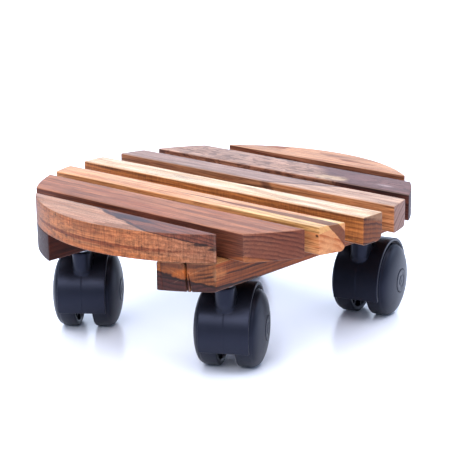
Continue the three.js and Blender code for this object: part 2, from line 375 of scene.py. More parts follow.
def segment_outline(chord):
    """The segment's outline drawn in by its corner radius, as (point, outward normal) pairs."""
    core = DISC_RADIUS - SEGMENT_CORNER
    first = math.asin((chord + SEGMENT_CORNER) / core)

    def facing_from(begin, finish, count):
        angles = [begin + (finish - begin) * i / count for i in range(count + 1)]
        return [Vector((math.cos(a), math.sin(a))) for a in angles]

    last, down = math.pi - first, 1.5 * math.pi
    outline = [(core * normal, normal) for normal in facing_from(first, last, ARC_STEPS)]
    right, left = outline[0][0], outline[-1][0]
    outline += [(left, normal) for normal in facing_from(last, down, TIP_STEPS)]
    outline += [(left.lerp(right, i / CHORD_STEPS), Vector((0, -1))) for i in range(1, CHORD_STEPS)]
    outline += [(right, normal) for normal in facing_from(down, 2 * math.pi + first, TIP_STEPS)]
    return outline


def segment_mesh(name, chord, low, high, seed):
    """The front or rear segment of the disc, with every edge and both corners rounded."""
    facing = -1 if chord < 0 else 1
    outline = segment_outline(abs(chord))
    levels = []
    for i in range(CORNER_STEPS + 1):
        angle = math.pi / 2 * i / CORNER_STEPS
        inset = SEGMENT_EASE * (1 - math.sin(angle))
        levels.append((inset, low + SEGMENT_EASE * (1 - math.cos(angle))))
    rounded = list(reversed(levels))
    levels += [(0, low + (high - low) * i / 4) for i in range(1, 4)]
    levels += [(inset, low + high - z) for inset, z in rounded]

    middle = Vector((0, (abs(chord) + DISC_RADIUS) / 2))

    def ring(inset, z, scale=1.0):
        points = []
        for place, normal in outline:
            flat = middle + (place + (SEGMENT_CORNER - inset) * normal - middle) * scale
            outward = Vector((normal.x, facing * normal.y, 0))
            points.append(worn(Vector((flat.x, facing * flat.y, z)), outward, seed))
        return points

    def lid(z):
        centre = Vector((middle.x, facing * middle.y, z))
        return [[centre]] + [ring(SEGMENT_EASE, z, scale) for scale in (0.4, 0.8)]

    rings = lid(low) + [ring(inset, z) for inset, z in levels] + lid(high)[::-1]
    return mesh_from(name, *loft(rings))


# Edge radii in millimetres of each long board: low-bottom, high-bottom, high-top, low-top.
BOARD_EDGES = {
    "slat_2_wide": (1.4, 1.8, 0.9, 0.9),
    "slat_3_narrow": (1.2, 3.6, 1.0, 1.0),
    "slat_4_centre": (1.2, 5.2, 1.2, 0.9),
    "slat_5_narrow": (1.4, 3.2, 1.2, 1.1),
    "slat_6_wide": (1.6, 2.6, 1.6, 1.0),
    "crossbar_left": (5.0, 1.4, 0.8, 0.8),
    "crossbar_right": (0.8, 1.6, 0.8, 0.8),
}
SWAP_XY = Matrix(((0, 1, 0, 0), (1, 0, 0, 0), (0, 0, 1, 0), (0, 0, 0, 1)))


def make_board(name, seed):
    """One board's visible mesh, inside the box of its CAD solid."""
    low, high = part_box(name)
    if "segment" in name:
        chord = high.y if abs(high.y) < abs(low.y) else low.y
        return link(name + "_board", segment_mesh(name, chord, low.z, high.z, seed))
    along_y = name in CROSSBARS
    across = (low.x, high.x) if along_y else (low.y, high.y)
    radii = [radius * MM for radius in BOARD_EDGES[name]]
    mesh = board_mesh(name, board_section(*across, low.z, high.z, radii), seed)
    if along_y:
        mesh.transform(SWAP_XY)
        mesh.flip_normals()
    return link(name + "_board", mesh)


# ------------------------------------------------------------------ screws
# A screw stands head down. Heights are in millimetres from the head's face, upward.
SCREW_HEAD = 4.0
SCREW_DEPTH = 2.2
SCREW_PILOT = 2.1
SCREW_FACETS = 40


def countersink_mesh(x, y):
    """The cone and pilot hole that a screw at (x, y) sits in."""
    mesh = turned("countersink", [
        (-2, 0), (-2, SCREW_HEAD + 0.35), (0.5, SCREW_HEAD + 0.35),
        (SCREW_DEPTH + 0.6, SCREW_PILOT), (8, SCREW_PILOT), (8, 0),
    ], SCREW_FACETS)
    mesh.transform(Matrix.Translation((x, y, CROSSBAR_BOTTOM)))
    return mesh


def crack_mesh(foot, head, depth):
    """A wedge-shaped split in the disc's edge, from its foot to its head.

    Each end is (angle in degrees, height from the floor, half width). Lengths are in millimetres.
    """
    reach = DISC_RADIUS / MM
    rings = []
    for angle, height, half in (foot, head):
        turn = Matrix.Rotation(math.radians(angle), 3, "Z")
        wedge = [
            (reach + 1, -half), (reach + 1, half),
            (reach - depth, 0.2 * half), (reach - depth, -0.2 * half),
        ]
        rings.append([turn @ Vector((x, y, height)) * MM for x, y in wedge])
    vertices, faces = loft(rings)
    return mesh_from("crack", vertices, faces + [(0, 1, 2, 3), (4, 5, 6, 7)])


# The splits in the right crossbar's near end, as (foot, head, depth).
CROSSBAR_SPLITS = [
    ((-58.2, 61, 0.45), (-58.85, 81.5, 1.2), 9),
    ((-57.05, 61, 0.6), (-57.95, 74, 0.3), 6),
    ((-65.0, 61, 0.12), (-65.9, 81.5, 0.1), 1.5),
]


def screw_mesh():
    """A countersunk screw with a cross recess, head down, with its head's face at z = 0."""
    body = link("screw", turned("screw", [
        (0.05, 0), (0.0, 3.2), (0.05, 3.8), (0.25, SCREW_HEAD), (0.5, SCREW_HEAD),
        (SCREW_DEPTH, 2.0), (12, 1.9), (12, 0),
    ], SCREW_FACETS))
    blades = []
    for turn in (0, 90):
        blade = prism("blade", [(-2.0, -0.5), (2.0, -0.5), (2.0, 0.5), (-2.0, 0.5)], -1, 1.4)
        for vertex in blade.vertices:
            if vertex.co.z > 0:
                vertex.co.x *= 0.45
        blade.transform(Matrix.Rotation(math.radians(turn), 4, "Z"))
        blades.append(blade)
    mesh = carve(body, blades).data
    bpy.data.objects.remove(body)
    return mesh


# ------------------------------------------------------------------ casters
# A caster's own frame, in millimetres: the stem stands at the origin, the axle runs along X at
# y = AXLE_TRAIL, and the hood's front faces -Y.
WHEEL_RADIUS = 25.0
AXLE_TRAIL = 19.0
HOOD_OUTER, HOOD_INNER = 29.0, 26.8
HOOD_FRONT, HOOD_REAR = -18.0, 160.0
HOOD_STEPS = 140
HOOD_ROUNDING = 0.45
# Steps across half of the hood, finest at the parting line, the boss's flanks and the rim.
HOOD_ACROSS = [
    0.14, 0.3, 0.6, 1.2, 2, 3, 4, 4.7, 5.3, 5.7, 6, 6.3, 6.6, 6.9, 7.2, 8, 9, 10.5, 12, 13.5, 15,
    15.6, 16,
]
PARTING_HEIGHT, PARTING_WIDTH = 0.11, 0.28
BOSS_TOP, BOSS_RADIUS = 57.3, 6.6
BOSS_START, BOSS_TAIL, BOSS_DROP = 5, 4.5, 12
BOSS_FOOT, BOSS_FOOT_SPAN, BOSS_FOOT_DRAW = 47, 7, 3.2
BOSS_RIM, BOSS_FILLET = 1.2, 1.6
FLANK_IN, FLANK_OUT = 0.6, 0.5
PLATE_HALF, WEB_HALF = 4.6, 1.2
POCKETS = [(24, 52), (58, 84), (90, 128)]
POCKET_OUTER, POCKET_INNER = 24.2, 11
AXLE_BOSS = 7.5


def caster_matrix(name):
    """From a caster's own frame to the row's frame."""
    x, y, _ = JOINTS[f"{name}_swivel"]["pos_m"]
    axle = JOINTS[f"{name}_wheel_a_spin"]["axis"]
    turn = math.atan2(axle[1], axle[0])
    return Matrix.Translation((x, y, 0)) @ Matrix.Rotation(turn, 4, "Z")


def hood_height(angle, across):
    """The hood's outer radius about the axle, with the stem boss and the mould's parting line.

    The angle is in degrees, from the front round over the top. The boss is a round post with a
    flat top, whose foot draws back into the shell.
    """
    turn = math.radians(angle)
    shell = HOOD_OUTER + PARTING_HEIGHT * math.exp(-(across / PARTING_WIDTH) ** 2)
    half = math.sqrt(max(BOSS_RADIUS ** 2 - across ** 2, 0))
    rear = math.degrees(math.atan2(BOSS_TOP - WHEEL_RADIUS, AXLE_TRAIL - half))
    if abs(across) > BOSS_RADIUS + FLANK_OUT or not BOSS_START < angle < rear + BOSS_TAIL:
        return shell
    top = (BOSS_TOP - WHEEL_RADIUS) / math.sin(turn)
    front = shell
    for _ in range(12):
        height = WHEEL_RADIUS + front * math.sin(turn)
        draw = BOSS_FOOT_DRAW * (max(BOSS_FOOT - height, 0) / BOSS_FOOT_SPAN) ** 2
        front = (AXLE_TRAIL + half - draw) / math.cos(turn)
    boss = -smooth_max(-top, -front, BOSS_RIM)
    boss -= BOSS_DROP * smooth_step(rear - 1.5, rear + BOSS_TAIL, angle)
    wall = smooth_step(BOSS_RADIUS - FLANK_IN, BOSS_RADIUS + FLANK_OUT, abs(across))
    boss += (shell - 3 - boss) * wall
    return max(shell, smooth_max(shell - 0.3, boss, BOSS_FILLET))


def hood_shell():
    """The hood's curved shell as two fine grids, closed round the rim, with the rim rounded."""
    acrosses = [-x for x in reversed(HOOD_ACROSS)] + [0.0] + HOOD_ACROSS
    sweep = HOOD_REAR - HOOD_FRONT
    angles = [HOOD_FRONT + sweep * i / HOOD_STEPS for i in range(HOOD_STEPS + 1)]

    def place(angle, across, radius):
        turn = math.radians(angle)
        return Vector((
            across, AXLE_TRAIL - radius * math.cos(turn), WHEEL_RADIUS + radius * math.sin(turn),
        )) * MM

    vertices, faces = [], []
    width = len(acrosses)
    for angle in angles:
        vertices += [place(angle, x, hood_height(angle, x)) for x in acrosses]
    for angle in angles:
        vertices += [place(angle, x, HOOD_INNER) for x in acrosses]
    under = width * (HOOD_STEPS + 1)
    for row in range(HOOD_STEPS):
        for column in range(width - 1):
            a = row * width + column
            faces.append((a, a + 1, a + 1 + width, a + width))
            faces.append((under + a, under + a + width, under + a + 1 + width, under + a + 1))
    last = HOOD_STEPS * width
    rim = [(c, c + 1) for c in range(width - 1)]
    rim += [(r * width + width - 1, (r + 1) * width + width - 1) for r in range(HOOD_STEPS)]
    rim += [(last + c + 1, last + c) for c in range(width - 1)]
    rim += [((r + 1) * width, r * width) for r in range(HOOD_STEPS)]
    faces += [(a, under + a, under + b, b) for a, b in rim]
    mesh = mesh_from("hood", vertices, faces)
    edges = {frozenset(edge.vertices): edge.index for edge in mesh.edges}
    weights = mesh.attributes.new("bevel_weight_edge", "FLOAT", "EDGE")
    for a, b in rim:
        for edge in (frozenset((a, b)), frozenset((under + a, under + b))):
            weights.data[edges[edge]].value = 1.0
    hood = link("hood", mesh)
    modifier = hood.modifiers.new("bevel", "BEVEL")
    modifier.limit_method = "WEIGHT"
    modifier.width = HOOD_ROUNDING * MM
    modifier.segments = 3
    return apply_modifiers(hood)


def hood_plate():
    """The plate between the wheels, with pockets in both faces."""
    # X of the outlines is forward and Y is up, from the axle.
    across_axle = Matrix.Translation((0, AXLE_TRAIL * MM, WHEEL_RADIUS * MM)) @ Matrix((
        (0, 0, -1, 0), (-1, 0, 0, 0), (0, 1, 0, 0), (0, 0, 0, 1),
    ))
    outline = arc(HOOD_INNER + 0.6, 10, 140, 48) + arc(AXLE_BOSS, 150, 370, 40)
    plate = link("plate", prism("plate", outline, -PLATE_HALF, PLATE_HALF, across_axle))
    pockets = []
    for start, end in POCKETS:
        outline = arc(POCKET_OUTER, start, end, 16)
        outline += arc(POCKET_INNER, end, start, 8)
        for low, high in ((-6, -WEB_HALF), (WEB_HALF, 6)):
            pockets.append(prism("pocket", outline, low, high, across_axle))
    return bevel(carve(plate, pockets), 0.35)


def hood_mesh():
    """The whole hood in one mesh."""
    hood, plate = hood_shell(), hood_plate()
    joined = bmesh.new()
    joined.from_mesh(hood.data)
    joined.from_mesh(plate.data)
    mesh = bpy.data.meshes.new("caster_hood")
    joined.to_mesh(mesh)
    joined.free()
    for piece in (hood, plate):
        bpy.data.objects.remove(piece)
    return mesh


DOME_RADIUS, DOME_SHOULDER, DOME_RISE = 24.2, 16.5, 6.8
CAP_POCKET = 8.3
WHEEL_FACETS, CAP_FACETS, STEM_FACETS = 96, 64, 48
RIB_COUNT = 10
HEX_FLATS, HEX_BOTTOM, HEX_TOP = 10, 57.7, 60.9
THREAD_START, THREAD_STEP, THREAD_STEPS = 62.6, 0.625, 16
THREAD_CREST, THREAD_ROOT = 4.0, 3.4


def dome_at(radius):
    """How far the wheel's outer face stands from the caster's middle plane."""
    return DOME_SHOULDER + DOME_RISE * math.sqrt(1 - (radius / DOME_RADIUS) ** 2)


def wheel_mesh():
    """One wheel about its axle, with its outer face towards +X and a ribbed recess inside."""
    inside = [
        (5.8, 3.3), (5.8, 5.4), (6.1, 5.8), (9.2, 5.8), (9.2, 21.4), (6.3, 21.8), (5.9, 22.1),
        (5.8, 22.5), (5.8, 24.0), (5.95, 24.5), (6.3, 24.85), (6.8, 25.0),
    ]
    shoulder = [(14.6, 25.0), (15.3, 24.93), (15.9, 24.72), (16.3, 24.45), (16.46, 24.3)]
    radii = [DOME_RADIUS * math.cos(math.radians(angle)) for angle in range(2, 70, 3)]
    dome = [(dome_at(radius), radius) for radius in radii if radius > CAP_POCKET + 0.6]
    pocket = [
        (dome_at(8.7), 8.7), (dome_at(8.45) - 0.06, 8.42), (dome_at(8.3) - 0.3, CAP_POCKET),
        (21.4, CAP_POCKET), (21.4, 3.3),
    ]
    wheel = link("wheel", turned("wheel", inside + shoulder + dome + pocket, WHEEL_FACETS, "X"))
    outward = Matrix(((0, 0, 1, 0), (0, 1, 0, 0), (-1, 0, 0, 0), (0, 0, 0, 1)))
    ribs = []
    for i in range(RIB_COUNT):
        rib = prism("rib", [(5.5, -0.5), (22.0, -0.5), (22.0, 0.5), (5.5, 0.5)], 6.4, 9.6)
        rib.transform(outward @ Matrix.Rotation(math.radians(360 / RIB_COUNT * i), 4, "Z"))
        ribs.append(rib)
    mesh = carve(wheel, ribs, "UNION").data
    bpy.data.objects.remove(wheel)
    return mesh


def cap_mesh():
    """The hub cap's face towards +X, with a rounded rim and a shallow ring round its middle."""
    return turned("hub_cap", [
        (21.7, 0), (21.7, 7.9), (22.7, 7.98), (23.0, 7.85), (23.16, 7.5), (23.2, 7.0),
        (23.22, 4.3), (23.1, 4.1), (23.1, 3.8), (23.24, 3.6), (23.34, 1.2), (23.2, 0.8), (23.18, 0),
    ], CAP_FACETS, "X")


def stem_mesh():
    """The plated stem: pin, hexagon, flange and thread."""
    pin = [(36, 0), (36, 2.2), (36.8, 3), (49.4, 3), (49.4, 2.3), (50.8, 2.3), (50.8, 3), (60.6, 3)]
    flange = [
        (60.8, 6.1), (61.0, 6.4), (61.5, 6.5), (62.0, 6.4), (62.2, 6.1), (62.2, THREAD_CREST),
    ]
    thread = [
        (THREAD_START + THREAD_STEP * i, THREAD_CREST if i % 2 else THREAD_ROOT)
        for i in range(THREAD_STEPS)
    ]
    tip = [(72.6, THREAD_ROOT), (73, 3.0), (73, 0)]
    core = link("stem", turned("stem", pin + flange + thread + tip, STEM_FACETS))
    corner = HEX_FLATS / 2 / math.cos(math.radians(30))
    outline = arc(corner, 0, 300, 5)
    hexagon = link("hexagon", prism("hexagon", outline, HEX_BOTTOM, HEX_TOP))
    rounding = turned(
        "rounding", [(57.6, 0), (57.6, 4.7), (58.6, 6.2), (61, 6.2), (61, 0)], STEM_FACETS,
    )
    nut = carve(hexagon, [rounding], "INTERSECT").data
    bpy.data.objects.remove(hexagon)
    mesh = carve(core, [nut], "UNION").data
    bpy.data.objects.remove(core)
    return mesh


# ------------------------------------------------------------------ materials
def tone(code):
    """A colour for a shader, from its usual six-digit code."""
    parts = [int(code[i:i + 2], 16) / 255 for i in (0, 2, 4)]
    return tuple(((p + 0.055) / 1.055) ** 2.4 if p > 0.04045 else p / 12.92 for p in parts) + (1,)


class Shader:
    """Shorthand for building one material's nodes. Values may be numbers, colours or sockets."""

    def __init__(self, name):
        self.material = bpy.data.materials.new(name)
        self.material.use_nodes = True
        self.tree = self.material.node_tree
        self.surface = self.tree.nodes["Principled BSDF"]

    def node(self, kind, inputs, **settings):
        """A node of a kind, with values for its inputs and its settings."""
        made = self.tree.nodes.new(kind)
        for key, value in settings.items():
            setattr(made, key, value)
        for key, value in inputs.items():
            self.put(made.inputs[key], value)
        return made

    def put(self, socket, value):
        if isinstance(value, bpy.types.NodeSocket):
            self.tree.links.new(value, socket)
        else:
            socket.default_value = value

    def set(self, name, value):
        self.put(self.surface.inputs[name], value)

    def math(self, operation, a, b=0.0):
        return self.node("ShaderNodeMath", {0: a, 1: b}, operation=operation).outputs[0]

    def add(self, *values):
        total = values[0]
        for value in values[1:]:
            total = self.math("ADD", total, value)
        return total

    def times(self, *values):
        total = values[0]
        for value in values[1:]:
            total = self.math("MULTIPLY", total, value)
        return total

    def step(self, value, low, high):
        """0 below low and 1 above high, with a smooth change between."""
        made = self.node("ShaderNodeMapRange", {
            "Value": value, "From Min": low, "From Max": high, "To Min": 0.0, "To Max": 1.0,
        }, interpolation_type="SMOOTHSTEP")
        return made.outputs["Result"]

    def mix(self, share, a, b, blend="MIX"):
        inputs = {0: share, 6: a, 7: b}
        made = self.node("ShaderNodeMix", inputs, data_type="RGBA", blend_type=blend)
        return made.outputs[2]

    def split(self, vector):
        return self.node("ShaderNodeSeparateXYZ", {0: vector}).outputs

    def scaled(self, vector, scale):
        made = self.node("ShaderNodeVectorMath", {0: vector, 1: scale}, operation="MULTIPLY")
        return made.outputs[0]

    def noise(self, vector, scale, detail=2.0, roughness=0.5, warp=0.0):
        """Noise from 0 to 1. The scale has one number for each axis, in features per millimetre."""
        made = self.node("ShaderNodeTexNoise", {
            "Vector": self.scaled(vector, scale), "Scale": 1.0, "Detail": detail,
            "Roughness": roughness, "Distortion": warp,
        })
        return made.outputs["Fac"]

    def place_mm(self, shift=(0, 0, 0)):
        """The point on the piece in millimetres."""
        coordinates = self.node("ShaderNodeTexCoord", {})
        made = self.node("ShaderNodeVectorMath", {
            0: coordinates.outputs["Object"], 1: (1000, 1000, 1000), 2: shift,
        }, operation="MULTIPLY_ADD")
        return made.outputs[0]

    def attribute(self, name):
        return self.node("ShaderNodeAttribute", {}, attribute_name=name).outputs["Fac"]

    def bump(self, height, depth, strength=1.0):
        """Bumps of a height from 0 to 1, with their depth in millimetres."""
        made = self.node("ShaderNodeBump", {
            "Height": height, "Distance": depth * MM, "Strength": strength,
        })
        return made.outputs["Normal"]


# The studio light is strong, so the woods' own colours are this much deeper than they look.
WOOD_DEPTH = 0.5
# The rings' fine bends in millimetres, and how strong the hairlines and the worn edges are.
RIPPLE, HAIRLINES, WEAR = 1.2, 0.6, 0.22
WORN_TONE, HAIRLINE_TONE, PORE_TONE = "d9b79a", "9a6c5c", "3a2018"
WOOD_ROUGHNESS, WOOD_SPECULAR = 0.42, 0.2


class Wood(Shader):
    """One board's wood, coloured by growth rings about a pith line that wander along the grain."""

    def __init__(self, name, spec, seed, along_y):
        super().__init__(name)
        self.spec = spec
        self.place = self.place_mm((0, 0, -TOP / MM))
        if along_y:
            x, y, z = self.split(self.place)
            self.place = self.node("ShaderNodeCombineXYZ", {0: y, 1: x, 2: z}).outputs[0]
        self.u, self.v, self.w = self.split(self.place)
        self.shifted = self.node("ShaderNodeVectorMath", {
            0: self.place, 1: (37 * seed, 11 * seed, 0),
        }).outputs[0]
        self.slow = self.noise(self.shifted, (0.011, 0.045, 0.045), 1.5)
        self.fine = self.noise(self.shifted, (0.05, 0.3, 0.3), 2)
        self.streak = self.noise(self.shifted, (0.02, 0.5, 0.5), 3, 0.6)
        self.fibre = self.noise(self.shifted, (0.05, 2.6, 2.6), 2, 0.6)
        self.end = self.attribute("end_grain")
        self.upward = self.attribute("face_up")
        self.along = self.add(1.0, self.times(self.end, -0.75))
        self.late = self.growth_rings()

    def growth_rings(self):
        """0 in the early wood and up to 1 in the late wood, with every ring a little different."""
        pith_v, pith_w = self.spec["pith"]
        off_v, off_w = self.add(self.v, -pith_v), self.add(self.w, -pith_w)
        distance = self.math("SQRT", self.add(self.times(off_v, off_v), self.times(off_w, off_w)))
        wander = self.times(self.slow, self.spec["wander"])
        distance = self.add(distance, wander, self.times(self.fine, RIPPLE))
        ring = self.math("DIVIDE", distance, self.spec["spacing"])
        phase = self.math("FRACT", ring)
        chance = self.node("ShaderNodeTexWhiteNoise", {
            "W": self.math("FLOOR", ring),
        }, noise_dimensions="1D").outputs["Value"]
        late = self.times(self.step(phase, 0.25, 0.88), self.step(phase, 1.0, 0.93))
        late = self.times(late, self.add(self.times(chance, 0.9), 0.25), self.spec["contrast"])
        late = self.times(late, self.add(self.times(self.end, 0.7), 1.0))
        return self.math("MINIMUM", late, 1.0)

    def with_zone(self, color, zone):
        """Other wood beyond a wavering plane, a line along that plane, or both."""
        a, b, c, d = zone["plane"]
        side = self.add(self.times(self.u, a), self.times(self.v, b), self.times(self.w, c), -d)
        waver = zone["waver"]
        bends = self.times(self.slow, waver), self.times(self.fine, waver * 0.8), -waver * 0.9
        side = self.add(side, *bends)
        if "early" in zone:
            soft = zone.get("soft", 0.8)
            inside = self.times(self.step(side, -soft, soft), zone.get("strength", 1))
            inner = self.mix(self.late, tone(zone["early"]), tone(zone["late"]))
            color = self.mix(inside, color, inner)
        if "line" in zone:
            width, strength = zone["width"], zone.get("line_strength", 0.85)
            reach = self.add(self.math("ABSOLUTE", side), self.times(self.u, -zone.get("grow", 0)))
            near = self.times(self.step(reach, width, width * 0.25), strength)
            color = self.mix(near, color, tone(zone["line"]))
        return color

    def with_spot(self, color, centre, reach, code, strength):
        """A ragged oval spot. The reach has one length for each axis."""
        moved = self.node("ShaderNodeVectorMath", {
            0: self.place, 1: tuple(-x for x in centre),
        }).outputs[0]
        scaled = self.scaled(moved, tuple(1 / r for r in reach))
        length = self.node("ShaderNodeVectorMath", {0: scaled}, operation="LENGTH").outputs["Value"]
        length = self.add(length, self.times(self.fine, 0.7), self.times(self.streak, 0.4), -0.55)
        return self.mix(self.times(self.step(length, 1.05, 0.55), strength), color, tone(code))

    def with_burl(self, color, code, strength):
        """Small swirls of another tone."""
        swirl = self.noise(self.shifted, (0.05, 0.14, 0.14), 4, 0.65, warp=2.0)
        return self.mix(self.times(self.step(swirl, 0.48, 0.6), strength), color, tone(code))

    def figure(self):
        """The wood's colour before its fibres: rings, patches, zones, spots and burl."""
        spec = self.spec
        color = self.mix(self.late, tone(spec["early"]), tone(spec["late"]))
        cloud = self.noise(self.shifted, (0.014, 0.06, 0.06), 2)
        patch = self.times(self.step(cloud, 0.42, 0.68), 0.8)
        color = self.mix(patch, color, tone(spec["patch"]))
        for zone in spec.get("zones", ()):
            color = self.with_zone(color, zone)
        for spot in spec.get("spots", ()):
            color = self.with_spot(color, *spot)
        if "burl" in spec:
            color = self.with_burl(color, *spec["burl"])
        return color

    def with_fibres(self, color):
        """Lighter and darker streaks along the grain, weaker on the end grain, and hairlines."""
        streaky = self.times(self.add(self.streak, -0.5), 2.2)
        fibrous = self.times(self.add(self.fibre, -0.5), 1.6)
        shade = self.add(self.times(self.add(streaky, fibrous), self.along), 1.05)
        if "flecks" in self.spec:
            fleck = self.noise(self.shifted, (1.1, 1.1, 0.16), 2, 0.6)
            shade = self.add(shade, self.times(self.add(fleck, -0.5), 2.0, self.spec["flecks"]))
        shade = self.times(shade, WOOD_DEPTH)
        grey = self.node("ShaderNodeCombineColor", {0: shade, 1: shade, 2: shade}).outputs[0]
        color = self.mix(1.0, color, grey, "MULTIPLY")
        hairline = self.step(self.noise(self.shifted, (0.028, 1.3, 1.3), 2, 0.7), 0.52, 0.62)
        hairline = self.times(hairline, self.along, self.spec.get("hairlines", HAIRLINES))
        return self.mix(hairline, color, self.mix(1.0, color, tone(HAIRLINE_TONE), "MULTIPLY"))

    def faced(self, color):
        """The colour tinted on the top, the sides and the ends, with its own tone on worn edges.
        The top tint is painted sheen.
        """
        flank = self.add(1.0, self.times(self.upward, -1), self.times(self.end, -1))
        # painted sheen: the top tint, weighted by how much a face looks up, tones the tops as the
        # light's grazing sheen leaves them
        for amount, key in ((self.upward, "top"), (flank, "side"), (self.end, "end")):
            tinted = self.mix(1.0, color, tone(self.spec[key]), "MULTIPLY")
            color = self.mix(self.math("MAXIMUM", amount, 0.0), color, tinted)
        wear = self.times(self.attribute("edge_wear"), WEAR)
        return self.mix(wear, color, tone(self.spec.get("worn", WORN_TONE)))

    def finished(self):
        """The whole material."""
        pores = self.node("ShaderNodeTexVoronoi", {
            "Vector": self.scaled(self.shifted, (0.11, 1.0, 1.0)), "Scale": 1.0, "Randomness": 1.0,
        }, feature="F1").outputs["Distance"]
        pore = self.step(pores, 0.2, 0.12)
        color = self.with_fibres(self.figure())
        color = self.mix(self.times(pore, 0.5), color, tone(PORE_TONE))
        self.set("Base Color", self.faced(color))
        self.set("Roughness", self.add(self.times(self.streak, 0.25), WOOD_ROUGHNESS))
        self.set("Specular IOR Level", WOOD_SPECULAR)
        height = self.add(
            self.times(self.fibre, 0.5), self.times(self.late, 0.3), self.times(pore, -1.0),
        )
        self.set("Normal", self.bump(height, 0.06, 0.7))
        return self.material


# Each board's wood. Tones are six-digit codes.
#   early, late, patch: the early wood, the late wood and slow patches.
#   pith, spacing, wander, contrast: the rings' centre as (v, w), and their shape and strength.
#   top, side, end, worn: tints for the faces and the worn edges' tone; the top tint is painted
#       sheen.
#   flecks, hairlines, burl: how strong these marks are, with the burl's tone first.
#   zones: other wood where a*u + b*v + c*w > d, for a plane (a, b, c, d), or a line along it.
#   spots: (centre, reach, tone, strength).
BOARD_WOOD = {
    "slat_1_front_segment": dict(
        early="d09c7e", late="946242", patch="d2a688", pith=(-120, -70), spacing=2.4, wander=8,
        contrast=0.8, top="ede7e8", side="f2c49a", end="b48260", worn="7c5848", flecks=0.8,
        hairlines=0.5,
        zones=[dict(
            plane=(0.352, 1, 4.4, -102.8), early="9a6453", late="63403a", waver=5, soft=1.6,
            line="32202a", width=1.8,
        )],
        spots=[
            ((12, -100.5, 0), (24, 4.5, 5), "4a3a44", 0.95),
            ((0, -120, -11.2), (90, 60, 1.6), "844a30", 0.8),
            ((0, -120, -16), (110, 60, 2), "c88a5a", 0.5),
            ((-88, -95, -9), (24, 26, 30), "a8948e", 0.5),
            ((72, -101, -6.6), (6, 8, 1.2), "3a2420", 0.9),
            ((80, -96, -9.4), (5, 8, 1.2), "3a2420", 0.9),
            # painted shade: a dark mark on the narrow face at the chord's right corner, which the
            # rim light would otherwise light
            ((83.5, -93, -9), (2.2, 3, 14), "2c1a1c", 0.9),
        ],
    ),
    "slat_2_wide": dict(
        early="c6886a", late="764434", patch="b47258", pith=(-89, -79), spacing=2.6, wander=4,
        contrast=0.8, top="f1e8dc", side="a0847a", end="b4948a", worn="b98a74",
        zones=[dict(plane=(0.3, -0.5, -1, 84), early="f0a468", late="cf8444", waver=2, soft=1)],
    ),
    "slat_3_narrow": dict(
        early="f2bc8e", late="c88052", patch="f6caa0", pith=(-60, -60), spacing=3.4, wander=6,
        contrast=0.65, top="f8edeb", side="f0ccaa", end="fad6b8",
        zones=[
            dict(plane=(0.2, -0.95, 4.0, 47), early="fbdfa6", late="f0c88c", waver=1, soft=1.5,
                 strength=0.8),
            dict(plane=(0.01, 0.766, 0.643, -25.6), waver=1.5, line="6e3a30", width=0.6,
                 grow=0.021),
        ],
        spots=[((115, -44.5, -6), (1.6, 2, 1), "2c1712", 0.9)],
    ),
    "slat_4_centre": dict(
        early="f8e3c2", late="d2a67e", patch="f4d4aa", pith=(-20, -90), spacing=3.0, wander=5,
        contrast=0.75, top="faf2f4", side="ffe4c8", end="b09084", flecks=0.5, hairlines=0.5,
        zones=[dict(plane=(0, -0.3, -1, 3.4), early="d08c54", late="6a3a22", waver=1.2, soft=1.2)],
    ),
    "slat_5_narrow": dict(
        early="c4a094", late="7a5a4c", patch="b09084", pith=(60, -60), spacing=3.2, wander=5,
        contrast=0.8, top="f0f2f3", side="f0c090", end="c4b2b4", worn="c9a68f",
        zones=[dict(plane=(0.35, -0.93, 0.3, -17.1), early="e0b8a0", late="ac7c66", waver=2,
                    line="4a3238", width=2.2, line_strength=0.65)],
    ),
    "slat_6_wide": dict(
        early="cba694", late="865f4c", patch="b8937f", pith=(75, -80), spacing=3.6, wander=8,
        contrast=0.9, top="fffcfa", side="dcb098", end="a294a4", worn="b59485",
        burl=("5a3c3a", 0.7),
        zones=[dict(plane=(0.6, 0.8, 0, 74), early="86605e", late="442c30", waver=12, soft=5)],
        spots=[
            ((45, 60, 0), (15, 8, 8), "e8cba8", 0.7),
            ((-22, 85, 0), (5, 3.5, 4), "4c322c", 0.8),
            ((86, 64, 0), (8, 2.5, 3), "c9b0b0", 0.7),
            ((88, 53.5, 0), (40, 1.8, 5), "3a2226", 0.8),
        ],
    ),
    "slat_7_rear_segment": dict(
        early="e8b08a", late="9c5a36", patch="eebc98", pith=(112, -50), spacing=4.0, wander=10,
        contrast=0.95, top="f0e9e4", side="b8988e", end="c0a090",
    ),
    "crossbar_left": dict(
        early="7d4c40", late="4a2a24", patch="6d4036", pith=(-70, -90), spacing=2.6, wander=5,
        contrast=0.7, top="ffffff", side="c4967a", end="87575b", worn="8d6a60",
    ),
    "crossbar_right": dict(
        early="c08250", late="4c2e20", patch="d48e54", pith=(62, 40), spacing=2.8, wander=6,
        contrast=1.0, top="ffffff", side="dcaa86", end="b8988a", worn="b08468", flecks=0.5,
        spots=[
            ((-108, 64, -19.5), (16, 26, 2.6), "7a5444", 0.65),
            ((-106, 63, -25), (10, 7, 3.2), "f09a48", 0.9),
            ((-96, 80.5, -25), (12, 2.5, 5), "e8b888", 0.7),
            ((-105.5, 67.4, -35), (2.5, 0.8, 4), "d8b49c", 0.8),
            # painted shade: a near-black streak inside the main split, where shade falls
            ((-105, 65.1, -23), (9, 0.75, 8), "1a0f0e", 0.95),
        ],
        zones=[dict(plane=(-0.06, -0.25, -1, 19.1), early="6e4644", late="44292a", waver=4,
                    line="1e1114", width=1.2)],
    ),
}


